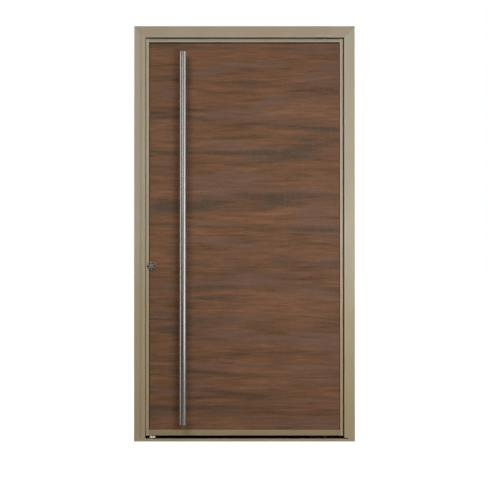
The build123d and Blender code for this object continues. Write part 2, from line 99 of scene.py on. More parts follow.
def gridFaces(rows, cols):
    # Four-sided faces of a grid of rows and columns, the last column joined to the first
    row, col = np.meshgrid(np.arange(rows - 1), np.arange(cols), indexing="ij")
    after = (col + 1) % cols
    corners = (row * cols + col, row * cols + after, (row + 1) * cols + after, (row + 1) * cols + col)
    return np.stack(corners, -1).reshape(-1, 4)


def skin(rings):
    # A skin over rings that all have the same number of points
    rings = np.asarray(rings)
    return rings, gridFaces(len(rings), len(rings[0]))


def axesFor(direction):
    # Two unit vectors square to a direction and to each other
    along = np.asarray(direction, float)
    along = along / np.linalg.norm(along)
    other = np.array([0.0, 0.0, 1.0]) if abs(along[2]) < 0.9 else np.array([1.0, 0.0, 0.0])
    side = np.cross(other, along)
    side = side / np.linalg.norm(side)
    return along, side, np.cross(along, side)


def turnedGrid(profile, centre, direction, turns):
    # A profile of (radius, height) turned about an axis: centre + height * axis + radius * (cos, sin)
    along, side, up = axesFor(direction)
    angle = ringAngles(turns)
    radius, height = np.asarray(profile, float).T
    ring = np.cos(angle)[:, None] * side + np.sin(angle)[:, None] * up
    return skin(np.asarray(centre, float) + height[:, None, None] * along + radius[:, None, None] * ring)


def carriedGrid(outline, path, side, up):
    # A closed outline of (u, v) carried along a path: path point + u * side + v * up, ends closed
    outline = np.asarray(outline, float)
    path = np.asarray(path, float)
    side = np.broadcast_to(np.asarray(side, float), path.shape)
    up = np.broadcast_to(np.asarray(up, float), path.shape)
    points = path[:, None, :] + outline[:, 0][None, :, None] * side[:, None, :]
    points = points + outline[:, 1][None, :, None] * up[:, None, :]
    rows, cols = len(path), len(outline)
    faces = gridFaces(rows, cols).tolist()
    faces.append(list(range(cols))[::-1])
    faces.append([(rows - 1) * cols + i for i in range(cols)])
    return points, faces


def joined(parts):
    # Several (points, faces) pairs as one pair
    allPoints, allFaces, start = [], [], 0
    for points, faces in parts:
        flat = np.asarray(points, float).reshape(-1, 3)
        allPoints.append(flat)
        allFaces += [[int(i) + start for i in face] for face in faces]
        start += len(flat)
    return np.concatenate(allPoints), allFaces


def arcPoints(centreU, centreV, radius, start, end, steps=7):
    # Points (u, v) on an arc, angles in degrees
    angle = np.radians(np.linspace(start, end, steps))
    return list(zip(centreU + radius * np.cos(angle), centreV + radius * np.sin(angle)))


# Small helpers for node materials

def startMaterial(name, **fixed):
    # A new material with some of its shader's sockets set, and the object's own coordinates
    material = bpy.data.materials.new(name)
    material.use_nodes = True
    tree = material.node_tree
    shader = tree.nodes["Principled BSDF"]
    for key, value in fixed.items():
        shader.inputs[key.replace("_", " ")].default_value = value
    coords = tree.nodes.new("ShaderNodeTexCoord").outputs["Object"]
    return material, tree, shader, coords


def addNode(tree, kind, inputs, **settings):
    # A node whose inputs, by place or by name, are linked to another's output or set to a plain value
    made = tree.nodes.new("ShaderNode" + kind)
    for key, value in settings.items():
        setattr(made, key, value)
    for key, value in dict(inputs).items():
        if isinstance(value, bpy.types.NodeSocket):
            tree.links.new(value, made.inputs[key])
        elif value is not None:
            made.inputs[key].default_value = value
    return made


def sized(tree, coords, scale, shift=(0, 0, 0)):
    # Coordinates stretched and moved
    return addNode(tree, "Mapping", {"Vector": coords, "Scale": scale, "Location": shift}).outputs[0]


def noise(tree, coords, scale=1.0, detail=2.0, rough=0.5):
    # Soft noise, about 0.3 to 0.7
    inputs = {"Vector": coords, "Scale": scale, "Detail": detail, "Roughness": rough}
    return addNode(tree, "TexNoise", inputs).outputs["Fac"]


def calc(tree, operation, *values):
    # One step of arithmetic
    return addNode(tree, "Math", enumerate(values), operation=operation).outputs[0]


def spread(tree, value, low, high, newLow=0.0, newHigh=1.0):
    # A smooth step from newLow to newHigh as the value goes from low to high
    inputs = enumerate((value, low, high, newLow, newHigh))
    return addNode(tree, "MapRange", inputs, interpolation_type="SMOOTHSTEP").outputs[0]


def ramp(tree, value, stops):
    # A colour for each value, blended between the stops
    made = addNode(tree, "ValToRGB", {0: value})
    elements = made.color_ramp.elements
    while len(elements) < len(stops):
        elements.new(0.5)
    for element, (place, colour) in zip(elements, stops):
        element.position = place
        element.color = (*colour, 1.0)
    return made.outputs[0]


def blended(tree, factor, first, second, kind="MIX"):
    # Two colours mixed by a factor
    first, second = ((*c, 1.0) if isinstance(c, tuple) else c for c in (first, second))
    inputs = {0: factor, 6: first, 7: second}
    return addNode(tree, "Mix", inputs, data_type="RGBA", blend_type=kind).outputs[2]


def times(tree, colour, factor):
    # A colour multiplied by a factor
    return blended(tree, 1.0, colour, factor, "MULTIPLY")


def splitUp(tree, coords):
    # The x, y and z of a vector
    return addNode(tree, "SeparateXYZ", {0: coords}).outputs


def together(tree, x, y, z):
    # A vector of three values
    return addNode(tree, "CombineXYZ", enumerate((x, y, z))).outputs[0]


def raised(tree, shader, height, distance, strength):
    # Fine relief on the shader's normal
    made = addNode(tree, "Bump", {"Height": height, "Distance": distance, "Strength": strength})
    tree.links.new(made.outputs[0], shader.inputs["Normal"])


def coated(tree, shader, tone, rough):
    # A shader's colour and roughness
    tree.links.new(tone, shader.inputs["Base Color"])
    tree.links.new(rough, shader.inputs["Roughness"])


def glowing(tree, shader, strength):
    # A white glow
    shader.inputs["Emission Color"].default_value = (1, 1, 1, 1)
    tree.links.new(strength, shader.inputs["Emission Strength"])


def linear(red, green, blue):
    # A colour as it shows on a screen, 0 to 255, as the value a shader takes
    def one(value):
        value = value / 255
        return value / 12.92 if value <= 0.04045 else ((value + 0.055) / 1.055) ** 2.4
    return (one(red), one(green), one(blue))


def deeper(colour, depth):
    # A colour with each channel multiplied by its own depth
    return tuple(d * c for d, c in zip(depth, colour))


# Camera

shot = {"distance": 8.0, "height": 1.0914, "aim": 1.1774, "aside": -0.0028, "width": 2.913, "plane": -0.05}
sensorWidth = 36.0
camera = newObject("camera", bpy.data.cameras.new("camera"))
camera.location = (shot["aside"], shot["plane"] - shot["distance"], shot["height"])
look = Vector((shot["aside"], shot["plane"], shot["aim"])) - camera.location
camera.rotation_euler = look.to_track_quat("-Z", "Y").to_euler()
camera.data.sensor_width = sensorWidth
camera.data.lens = sensorWidth * look.length / shot["width"]
camera.data.clip_end = 200.0
scene.camera = camera
scene.view_settings.view_transform = "Standard"
print("camera set")


# Light, floor and background

light = {
    "world": 0.05,  # light from all round
    "floorTone": (0.32, 0.25, 0.17), "floorPatch": (0.96, 0.96, 0.96),
    "floorLift": 0.95, "floorReach": 60.0, "floorDrop": 0.0005,
}
# Each lamp as (place, size, watts, aim)
lamps = {
    "rightLamp": ((1.17, -3.4, 1.51), (1.8, 1.6), 86.0, (0.2, 0.0, 1.62)),
    "leftLamp": ((-1.6, -4.03, 3.5), (1.8, 1.4), 98.0, (0.1, 0.0, 1.61)),
    "backRightLamp": ((2.4, 4.0, 2.3), (2.0, 1.6), 84.0, (0.0, 0.0, 1.3)),
    "backLeftLamp": ((-2.4, 4.0, 2.3), (2.0, 1.6), 84.0, (0.0, 0.0, 1.3)),
}


def addLamp(name, place, size, watts, aim):
    # A soft oblong lamp that shows neither to the camera nor in gloss
    data = bpy.data.lights.new(name, "AREA")
    data.shape = "RECTANGLE"
    data.size, data.size_y = size
    data.energy = watts
    made = newObject(name, data)
    made.location = place
    made.rotation_euler = (Vector(aim) - Vector(place)).to_track_quat("-Z", "Y").to_euler()
    made.visible_camera = False
    made.visible_glossy = False


for name, given in lamps.items():
    addLamp(name, *given)


def seenDirectly(tree):
    # 1 for rays from the camera, through glass and off gloss, else 0
    path = tree.nodes.new("ShaderNodeLightPath").outputs
    seen = calc(tree, "MAXIMUM", path["Is Camera Ray"], path["Is Transmission Ray"])
    return calc(tree, "MAXIMUM", seen, path["Is Glossy Ray"])


world = bpy.data.worlds.new("studio")
scene.world = world
world.use_nodes = True
worldTree = world.node_tree
background = worldTree.nodes["Background"]
background.inputs["Color"].default_value = (1, 1, 1, 1)
strength = calc(worldTree, "MULTIPLY_ADD", seenDirectly(worldTree), 1.0 - light["world"], light["world"])
worldTree.links.new(strength, background.inputs["Strength"])


def plane(name, x, y, z):
    # One flat face: its near edge at the first y and z, its far edge at the second, both along x
    corners = [(x[0], y[0], z[0]), (x[1], y[0], z[0]), (x[1], y[1], z[1]), (x[0], y[1], z[1])]
    mesh = bpy.data.meshes.new(name)
    mesh.from_pydata(corners, [], [(0, 1, 2, 3)])
    return newObject(name, mesh)


def pourFloor(tone, reach, drop):
    # A wide pale floor just under the door, white to the camera and toned for the light it throws back
    floor = plane("floor", (-reach, reach), (-reach, reach), (-drop, -drop))
    material, tree, shader, coords = startMaterial("paleFloor", Roughness=0.9)
    patches = spread(tree, noise(tree, coords, 0.8, 4.0), 0.2, 0.8)
    patchy = blended(tree, patches, tone, deeper(tone, light["floorPatch"]))
    tree.links.new(patchy, shader.inputs["Base Color"])
    glowing(tree, shader, calc(tree, "MULTIPLY", seenDirectly(tree), light["floorLift"]))
    floor.data.materials.append(material)


pourFloor(light["floorTone"], light["floorReach"], light["floorDrop"])

# Cloths that show in gloss only and give the bar its dark and bright bands, each as (x, y, z, glow)
cloths = {
    "darkCard": ((-9.0, 1.3), (-3.2, -3.2), (0.0, 4.0), 0.06),
    "lowCard": ((-6.0, 1.5), (-1.6, -1.6), (0.0, 0.32), 0.12),
    "brightCard": ((-2.3, -0.66), (-3.1, -3.1), (1.5, 2.9), 1.2),
    "middleCard": ((-2.3, -0.66), (-3.1, -3.1), (0.8, 1.5), 0.5),
    "sideCard": ((3.3, 6.8), (-3.2, -3.2), (0.0, 2.2), 2.1),
    "upperSideCard": ((2.4, 9.0), (-3.2, -3.2), (2.2, 4.6), 0.7),
    "floorClothLeft": ((-5.0, -0.36), (-3.0, -0.075), (0.002, 0.002), 0.10),
    "floorClothRight": ((-0.36, 5.0), (-3.0, -0.075), (0.002, 0.002), 0.30),
}


def glossCloth(name, x, y, z, glow):
    # A softly glowing face near the door
    made = plane(name, x, y, z)
    material, tree, shader, coords = startMaterial(name + "Cloth", Roughness=1.0, Specular_IOR_Level=0.0)
    cloth = spread(tree, noise(tree, coords, 3.0), 0.2, 0.8, 0.9 * glow, 1.1 * glow)
    glowing(tree, shader, cloth)
    shader.inputs["Base Color"].default_value = (0.02, 0.02, 0.02, 1)
    made.data.materials.append(material)
    made.visible_camera = False
    made.visible_diffuse = False
    made.visible_shadow = False


for name, given in cloths.items():
    glossCloth(name, *given)
print("light and floor set")


# Finishes

champagne = {
    "base": linear(164, 155, 138), "shade": linear(156, 146, 126),
    "speck": linear(190, 178, 158), "dust": linear(140, 128, 108),
    # painted light: the low tint makes the coat yellower towards the floor, standing for the warm light there
    "low": (1.07, 1.0, 0.83),  # how the tone falls off towards the floor
    "lowFrom": 1.6, "lowTo": 0.1, "roughness": 0.42, "flakeScale": 900.0, "foldWidth": 0.0006,
    "mitre": 0.0007, "mitreTone": linear(70, 60, 45), "mitreAbove": 2.40,
}
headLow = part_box("head_outer")[0].z
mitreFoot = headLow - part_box("jamb_pivot_outer")[0].x  # height where both mitre lines would meet x = 0


def champagneFinish(name, mitred=False, depth=(1.0, 1.0, 1.0), step=None, line=None):
    # Satin powder coat: cloudy tone, a fine pebbled skin, painted light that turns it yellower near the
    # floor, hairlines at the mitres
    # The two-tone argument is (axis, place, inner, outer): painted light and shade, a lighter and a darker
    # tone either side of a fold
    # line is (x, half width, darkness), a painted shadow line at the foot of a moulding
    material, tree, shader, coords = startMaterial(name, Metallic=0.15, IOR=1.5)
    x, y, z = splitUp(tree, coords)
    cloud = noise(tree, sized(tree, coords, (3.0, 3.0, 1.2)), 1.0, 3.0)
    base, shade = deeper(champagne["base"], depth), deeper(champagne["shade"], depth)
    tone = blended(tree, spread(tree, cloud, 0.35, 0.65), base, shade)
    skin = noise(tree, coords, champagne["flakeScale"], 2.0)
    tone = blended(tree, spread(tree, skin, 0.3, 0.7, 0.0, 0.10), tone, champagne["speck"])
    dust = noise(tree, sized(tree, coords, (9.0, 9.0, 5.0)), 1.0, 5.0, 0.6)
    tone = blended(tree, spread(tree, dust, 0.55, 0.8, 0.0, 0.12), tone, champagne["dust"])
    # Painted light: yellower towards the floor
    paintedFloorShade = spread(tree, z, champagne["lowTo"], champagne["lowFrom"], 1.0, 0.0)
    tone = blended(tree, paintedFloorShade, tone, champagne["low"], "MULTIPLY")
    # Painted light and shade: a lighter and a darker band either side of a fold
    if step:
        axis, place, inner, outer = step
        fold = champagne["foldWidth"]
        tone = times(tree, tone, spread(tree, (x, y, z)[axis], place - fold, place + fold, inner, outer))
    # Painted shadow: a dark line where the moulding's step casts its shade
    if line:
        middle, half, darkness = line
        off = calc(tree, "ABSOLUTE", calc(tree, "SUBTRACT", x, middle))
        tone = times(tree, tone, spread(tree, off, 0.3 * half, half, darkness, 1.0))
    if mitred:
        above = calc(tree, "SUBTRACT", z, calc(tree, "ABSOLUTE", x))
        off = calc(tree, "ABSOLUTE", calc(tree, "SUBTRACT", above, mitreFoot))
        hairline = spread(tree, off, 0.3 * champagne["mitre"], 1.6 * champagne["mitre"], 0.75, 0.0)
        high = calc(tree, "GREATER_THAN", z, champagne["mitreAbove"])
        tone = blended(tree, calc(tree, "MULTIPLY", hairline, high), tone, champagne["mitreTone"])
    rough = champagne["roughness"]
    coated(tree, shader, tone, spread(tree, cloud, 0.3, 0.7, rough - 0.05, rough + 0.06))
    raised(tree, shader, skin, 0.00012, 0.5)
    return material


walnut = {
    "dark": linear(84, 61, 45), "middle": linear(101, 73, 53), "warm": linear(112, 79, 57),
    "light": linear(123, 89, 68), "mauve": linear(103, 80, 68), "grey": linear(73, 62, 50),
    "pores": linear(60, 45, 34), "growthWidth": 0.042, "upperShade": 0.88, "roughness": 0.55,
}
# Each layer of grain as (waves a metre along it, waves a metre across it, detail, roughness, seed)
grainLayers = {
    "bands": (1.2, 14.0, 3.0, 0.55, 1.7),
    "strands": (4.2, 48.0, 3.0, 0.6, 7.3),
    "threads": (9.0, 115.0, 2.0, 0.6, 9.6),
    "fibres": (24.0, 420.0, 3.0, 0.6, 4.1),
    "mottle": (85.0, 190.0, 2.0, 0.6, 13.0),
    "veil": (1.6, 10.0, 3.0, 0.6, 21.0),
    "growth": (0.36, 4.6, 1.0, 0.5, 31.0),
    "swell": (2.4, 7.0, 2.0, 0.5, 41.0),
    "fleck": (48.0, 170.0, 2.0, 0.5, 5.0),
    "glint": (38.0, 7.0, 2.0, 0.5, 0.0),
}
# The same for two slow waves that lift all layers, each with its lift in metres before it
grainWaves = ((0.02, (0.7, 1.6, 1.0, 0.5, 0.0)), (0.006, (3.5, 8.0, 2.0, 0.5, 3.0)))


def walnutFinish(name, shift):
    # Veneer with the grain across the leaf: fine threads in slow bands, and dark growth lines with long eyes
    material, tree, shader, coords = startMaterial(name, IOR=1.48, Specular_IOR_Level=0.2)
    x, _, z = splitUp(tree, sized(tree, coords, (1, 1, 1), shift))

    def grain(height, along, across, detail, rough, seed):
        place = (calc(tree, "MULTIPLY", x, along), seed, calc(tree, "MULTIPLY", height, across))
        return noise(tree, together(tree, *place), 1.0, detail, rough)

    height = z
    for lift, wave in grainWaves:
        height = calc(tree, "MULTIPLY_ADD", grain(z, *wave), lift, height)
    layers = {key: grain(height, *given) for key, given in grainLayers.items()}
    strands, threads, fibres = layers["strands"], layers["threads"], layers["fibres"]
    mixedUp = calc(tree, "MULTIPLY_ADD", strands, 0.35, calc(tree, "MULTIPLY", layers["bands"], 0.40))
    mixedUp = calc(tree, "MULTIPLY_ADD", threads, 0.25, mixedUp)
    stops = ((0.36, "dark"), (0.46, "middle"), (0.54, "warm"), (0.65, "light"))
    tone = ramp(tree, mixedUp, [(place, walnut[key]) for place, key in stops])
    tone = blended(tree, spread(tree, layers["veil"], 0.47, 0.64, 0.0, 0.75), tone, walnut["mauve"])

    # Growth lines stand where the slow field is close to one half
    off = calc(tree, "ABSOLUTE", calc(tree, "SUBTRACT", layers["growth"], 0.5))
    growth = spread(tree, off, 0.0, walnut["growthWidth"], 1.0, 0.0)
    swell = spread(tree, layers["swell"], 0.42, 0.60, 0.2, 1.0)
    fleck = spread(tree, layers["fleck"], 0.3, 0.7, 0.55, 1.0)
    smoky = calc(tree, "MULTIPLY", calc(tree, "MULTIPLY", growth, swell), fleck)
    tone = blended(tree, smoky, tone, walnut["grey"])

    tone = blended(tree, spread(tree, fibres, 0.52, 0.78, 0.0, 0.32), tone, walnut["pores"])
    # Painted glint: faint lighter patches blended towards the light walnut tone
    tone = blended(tree, spread(tree, layers["glint"], 0.45, 0.75, 0.0, 0.10), tone, walnut["light"])
    lines = calc(tree, "MULTIPLY_ADD", threads, 0.30, calc(tree, "MULTIPLY_ADD", strands, 0.22, 0.74))
    tone = times(tree, tone, lines)
    tone = times(tree, tone, spread(tree, layers["mottle"], 0.3, 0.7, 0.92, 1.08))
    # Painted shade: the veneer darker towards the top of the leaf, where less light falls
    tone = times(tree, tone, spread(tree, splitUp(tree, coords)[2], 1.5, 2.2, 1.0, walnut["upperShade"]))
    rough = walnut["roughness"]
    coated(tree, shader, tone, spread(tree, strands, 0.3, 0.7, rough + 0.08, rough - 0.04))
    raised(tree, shader, fibres, 0.00025, 0.5)
    return material


stainless = {
    "tone": linear(198, 197, 194), "dull": linear(190, 188, 184), "dim": linear(160, 157, 151),
    "roughness": 0.22,
}


def stainlessFinish(name, stretch, lift=1.0, depth=(1.0, 1.0, 1.0)):
    # Satin ground steel: fine lines along one direction, and faint smears
    material, tree, shader, coords = startMaterial(name, Metallic=1.0)
    lines = noise(tree, sized(tree, coords, stretch), 1.0, 3.0, 0.6)
    smear = noise(tree, coords, 12.0, 4.0, 0.6)
    dull, bright, dim = (deeper(stainless[key], depth) for key in ("dull", "tone", "dim"))
    tone = blended(tree, spread(tree, lines, 0.3, 0.7), dull, bright)
    tone = blended(tree, spread(tree, smear, 0.5, 0.8, 0.0, 0.10), tone, dim)
    rough = calc(tree, "MULTIPLY_ADD", lines, 0.06, stainless["roughness"] * lift - 0.04)
    coated(tree, shader, tone, calc(tree, "MULTIPLY_ADD", smear, 0.05, rough))
    raised(tree, shader, lines, 0.00002, 0.05)
    return material


def steelFinish(name, tone, roughness):
    # Plain zinc-plated steel: cloudy crystals and faint scratches
    tone = linear(*tone)
    material, tree, shader, coords = startMaterial(name, Metallic=1.0)
    crystals = addNode(tree, "TexVoronoi", {"Vector": coords, "Scale": 160.0})
    cloud = noise(tree, coords, 30.0, 4.0)
    facets = spread(tree, crystals.outputs["Distance"], 0.1, 0.7, 0.0, 0.5)
    base = blended(tree, facets, tone, deeper(tone, (0.82, 0.82, 0.82)))
    base = blended(tree, spread(tree, cloud, 0.4, 0.7, 0.0, 0.25), base, linear(120, 118, 112))
    coated(tree, shader, base, spread(tree, cloud, 0.3, 0.7, roughness - 0.06, roughness + 0.1))
    raised(tree, shader, noise(tree, sized(tree, coords, (60, 500, 60)), 1.0, 2.0), 0.00005, 0.3)
    return material


def darkFinish(name, tone, paler, roughness, grainScale, depth, gloss=0.08, upper=None):
    # Moulded plastic or rubber: fine grain, dusty higher spots
    # upper is (height, darkness) of a darker top run: a painted shadow
    tone, paler = linear(*tone), linear(*paler)
    material, tree, shader, coords = startMaterial(name, IOR=1.48, Specular_IOR_Level=gloss)
    grain = noise(tree, coords, grainScale, 3.0, 0.6)
    dust = noise(tree, coords, 24.0, 5.0, 0.65)
    base = blended(tree, spread(tree, grain, 0.4, 0.75, 0.0, 0.4), tone, paler)
    base = blended(tree, spread(tree, dust, 0.55, 0.85, 0.0, 0.3), base, paler)
    # Painted shadow: everything above the height is darkened
    if upper:
        height, darkness = upper
        z = splitUp(tree, coords)[2]
        base = times(tree, base, spread(tree, z, height, height + champagne["foldWidth"], 1.0, darkness))
    coated(tree, shader, base, spread(tree, grain, 0.3, 0.7, roughness - 0.08, roughness + 0.08))
    raised(tree, shader, grain, depth, 0.6)
    return material


leafSide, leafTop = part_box("stile_pivot_side")[1].x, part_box("stile_pivot_side")[1].z
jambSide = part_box("jamb_lock_outer")[0].x
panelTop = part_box("outer_panel")[1].z
coats = {
    "frameCoat": {"mitred": True},
    "leafCoat": {},
    # Painted shade: the bottom rail darker, for the weak light near the floor
    "railCoat": {"depth": (0.74, 0.72, 0.67)},
    # Painted shadow: the top rail's upper strip much darker where the head shades it, the whole rail a little
    # darker as painted shade
    "topRailCoat": {"depth": (0.98, 0.95, 0.92), "step": (2, leafTop - 0.012, 0.98, 0.70)},
    # Painted light and shade: the pivot stile lighter towards the panel and darker on its outer strip by the
    # gap
    "pivotStileCoat": {"step": (0, leafSide - 0.0095, 1.06, 0.88)},
    # Painted shade and highlight: the head darker and warmer than the jambs, with a painted highlight along
    # its lower edge
    "headCoat": {"mitred": True, "depth": (0.87, 0.82, 0.78), "step": (2, headLow + 0.0075, 1.10, 1.0)},
    # Painted shade: the lock jamb a little darker and warmer, with a painted shadow line at the foot of its
    # strip
    "lockJambCoat": {"mitred": True, "depth": (1.0, 0.97, 0.95), "line": (jambSide + 0.0355, 0.005, 0.80)},
    # Painted shade: the nosing a darker copy of the champagne coat, for the low light near the floor
    "sillCoat": {"depth": (0.88, 0.87, 0.87)},
}
veneers = {"walnutOutside": [(0.35, 0.0, 0.22)], "walnutInside": [(5.1, 0.0, 3.3)]}
upright, turned = (900.0, 900.0, 5.0), (260.0, 40.0, 260.0)  # fine lines a metre along x, y and z
grounds = {
    "groundSteel": [upright],
    "turnedSteel": [turned, 1.1],
    # Painted reflection: the tint makes this steel darker and warmer, standing for the walnut mirrored in it;
    # its higher roughness is its own
    "dullSteelPaintedReflection": [turned, 1.8, (0.84, 0.74, 0.68)],
}
steels = {
    "zincSteel": ((186, 184, 178), 0.34),
    "darkZinc": ((92, 90, 86), 0.5),
    "nickel": ((186, 180, 168), 0.25),
}
mouldings = {
    "blackPlastic": ((9, 8, 7), (20, 18, 16), 0.8, 700.0, 0.0001, 0.03),
    "blackRubber": ((8, 7, 6), (18, 16, 14), 0.85, 1200.0, 0.00008, 0.03),
    # Painted shade: the panel seal toned like walnut in the groove's shade, with a painted shadow on its top
    # run
    "grooveShadeRubber": ((76, 58, 43), (88, 67, 50), 0.8, 1200.0, 0.00008, 0.08, (panelTop - 0.0005, 0.35)),
    # Painted light: the head wiper lip toned a lighter brown than rubber, so the shaded gap above the leaf
    # looks lit
    "gapLightRubber": ((76, 58, 43), (88, 67, 50), 0.8, 1200.0, 0.00008),
    "whiteAcetal": ((228, 223, 206), (212, 206, 188), 0.35, 500.0, 0.00004, 0.5),
    "foam": ((222, 214, 178), (198, 188, 150), 0.85, 260.0, 0.0006),
}
finishes = {name: champagneFinish(name, **given) for name, given in coats.items()}
makers = {walnutFinish: veneers, stainlessFinish: grounds, steelFinish: steels, darkFinish: mouldings}
for make, table in makers.items():
    for name, given in table.items():
        finishes[name] = make(name, *given)

finishOfSlot = {
    "champagne_metal": "frameCoat", "black_plastic": "blackPlastic", "black_rubber": "blackRubber",
    "plain_steel": "zincSteel", "brushed_stainless": "groundSteel", "nickel_brass": "nickel",
    "white_plastic": "whiteAcetal", "walnut": "walnutOutside", "insulation": "foam",
}
finishOfNode = {
    "inner_panel": "walnutInside", "stile_lock_side": "leafCoat", "stile_pivot_side": "pivotStileCoat",
    "jamb_lock_outer": "lockJambCoat", "rail_top": "topRailCoat", "rail_bottom": "railCoat",
    "head_outer": "headCoat", "threshold_nosing": "sillCoat", "panel_seal_outside": "grooveShadeRubber",
    "panel_seal_inside": "grooveShadeRubber", "floor_pivot": "darkZinc",
}
for part in frame["record"]["subparts"]:
    name = part["node"]
    chosen = finishes[finishOfNode.get(name, finishOfSlot[part["material_slot"]])]
    nodes[name].data.materials.clear()
    nodes[name].data.materials.append(chosen)
print("finishes set")


# Pull bar caps and standoffs

barEnd = {"edge": 0.0014, "groove": 0.0005, "grooveAt": 0.0046, "flat": 0.6, "turns": 72}


def barCap(node, outward):
    # A turned disc: flat end, rounded rim, straight wall with one fine groove
    low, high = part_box(node)
    x, y, _ = middleOf(node)
    radius, length = (high.x - low.x) / 2, high.z - low.z
    edge, groove, at = barEnd["edge"], barEnd["groove"], barEnd["grooveAt"]
    profile = [(0, 0), (radius, 0), (radius, length - at - groove)]
    profile += [(radius - groove, length - at), (radius, length - at + groove)]
    profile += arcPoints(radius - edge, length - edge, edge, 0, 90, 6)
    profile += [(radius * barEnd["flat"], length), (0, length)]
    start = (x, y, low.z if outward > 0 else high.z)
    addSteel(node, "_turned", turnedGrid(profile, start, (0, 0, outward), barEnd["turns"]), "groundSteel")


barCap("bar_cap_bottom", -1)
barCap("bar_cap_top", 1)

post = {
    "flange": 0.0165, "flangeDepth": 0.0042, "turns": 56, "barRadius": 0.02002,
    # (in from the flange's rim, back from its face), then (out from the post, ahead of the flange)
    "flangeEdge": ((0.0, 0.0010), (0.0004, 0.0004), (0.0012, 0.0)),
    "neckCurve": ((0.0015, 0.0), (0.0004, 0.0006), (0.0, 0.0018)),
}


def standoffPost(node):
    # A turned post whose far end follows the bar: depth = bar axis + sqrt(bar radius^2 - x^2)
    low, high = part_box(node)
    centreX, _, centreZ = middleOf(node)
    back, axis = high.y, middleOf("pull_bar")[1]
    radius = (high.x - low.x) / 2
    angle = ringAngles(post["turns"])
    flange, deep = post["flange"], post["flangeDepth"]
    rows = [(0.0, 0.0), (flange, 0.0)]
    rows += [(flange - inward, deep - behind) for inward, behind in post["flangeEdge"]]
    rows += [(radius + outward, deep + ahead) for outward, ahead in post["neckCurve"]]
    rings = []
    for r, h in rows:
        level = np.full_like(angle, back - h)
        rings.append([centreX + r * np.cos(angle), level, centreZ + r * np.sin(angle)])
    for r in (radius, radius * 0.5, 0.0):
        x = r * np.cos(angle)
        y = axis + np.sqrt(post["barRadius"] ** 2 - x**2)
        rings.append([centreX + x, y, centreZ + r * np.sin(angle)])
    addSteel(node, "_turned", skin(np.transpose(rings, (0, 2, 1))), "turnedSteel")


for node in ("standoff_bottom", "standoff_middle", "standoff_top"):
    standoffPost(node)
print("pull bar dressed")


# Lock furniture

cylinder = {"roundAt": 0.008, "round": 0.0085, "leg": 0.005, "footAt": -0.0115}
rosette = {
    "bevel": 0.0034, "bevelDrop": 0.00515,
    "bevelCurve": ((0.3, 0.04), (0.6, 0.16), (0.85, 0.42), (1.0, 1.0)),  # (share of bevel, share of drop)
    "bore": 0.0004,  # gap round the cylinder
    "dish": 0.0010, "dishSlope": 0.002, "hub": 0.0122, "dimples": 6,
    "dimpleStart": math.radians(5), "dimpleRing": 0.0176, "dimpleRadius": 0.0050,
    "dimpleDepth": 0.0040, "rings": 26, "turns": 216,
}


def cylinderReach(angle, spare):
    # Distance from the lock's middle to the cylinder's outline: the farthest of round top, leg and round foot
    dx, dz = np.cos(angle), np.sin(angle)
    high, low = cylinder["roundAt"], cylinder["footAt"]
    topRadius, leg = cylinder["round"] + spare, cylinder["leg"] + spare
    top = dz * high + np.sqrt(topRadius**2 - (high * dx) ** 2)
    side = leg / np.maximum(np.abs(dx), 1e-9)
    ends = np.where(dz > 0, high / np.maximum(dz, 1e-9), low / np.minimum(dz, -1e-9))
    straight = np.minimum(side, ends)
    inside = leg**2 - (low * dx) ** 2
    bottom = np.where((inside > 0) & (dz < 0), dz * low + np.sqrt(np.maximum(inside, 0)), 0)
    return np.maximum(np.maximum(top, straight), bottom)


def dimplePlaces():
    # Middles of the dimples, evenly spaced on their ring
    at = rosette["dimpleStart"] + ringAngles(rosette["dimples"])
    return rosette["dimpleRing"] * np.stack([np.cos(at), np.sin(at)], -1)


def lockRosette(node, outward):
    # A dished disc round the cylinder: height = thickness - dish, less round dimples on one ring
    low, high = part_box(node)
    x, _, z = middleOf(node)
    wallY = high.y if outward < 0 else low.y
    radius, thick = (high.x - low.x) / 2, high.y - low.y
    angle = ringAngles(rosette["turns"])
    inner = cylinderReach(angle, rosette["bore"])
    edge, slope = radius - rosette["bevel"], rosette["dishSlope"]
    part = np.linspace(0, 1, rosette["rings"])
    r = inner[None, :] + (edge - inner)[None, :] * part[:, None]
    within = np.clip((r - rosette["hub"]) / slope, 0, 1) * np.clip((edge - r) / slope, 0, 1)
    h = thick - rosette["dish"] * within
    for u, v in dimplePlaces():
        away = np.hypot(r * np.cos(angle) - u, r * np.sin(angle) - v)
        h = h - rosette["dimpleDepth"] * np.sqrt(np.clip(1 - (away / rosette["dimpleRadius"]) ** 2, 0, 1))
    flat = np.zeros_like(angle)
    bevelR = [flat + edge + rosette["bevel"] * u for u, v in rosette["bevelCurve"]]
    bevelH = [flat + thick - rosette["bevelDrop"] * v for u, v in rosette["bevelCurve"]]
    r = np.vstack([inner, r] + bevelR + [flat + radius, inner])
    h = np.vstack([flat, h] + bevelH + [flat, flat])
    points = np.stack([x + r * np.cos(angle), wallY + outward * h, z + r * np.sin(angle)], -1)
    addSteel(node, "_dished", skin(points), "dullSteelPaintedReflection")


plug = {"share": 0.94, "back": 0.0016, "crown": 0.0004, "proud": 0.0002, "turns": 32}
lockX, _, lockZ = middleOf("rosette_outside")
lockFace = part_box("rosette_outside")[0].y


def rosettePlugs(name):
    # A black plug in each dimple: a low dome, height = crown * (1 - (r / radius)^2)
    face = lockFace + rosette["dish"] + plug["proud"]
    radius = rosette["dimpleRadius"] * plug["share"]
    profile = [(0.0, -plug["back"]), (radius, -plug["back"]), (radius, 0.0)]
    profile += [(radius * s, plug["crown"] * (1 - s**2)) for s in np.linspace(1, 0, 6)[1:]]
    places = [(lockX + u, face, lockZ + v) for u, v in dimplePlaces()]
    form = joined([turnedGrid(profile, place, (0, -1, 0), plug["turns"]) for place in places])
    addPiece(name, form, "leaf", "black_plastic", "blackPlastic")


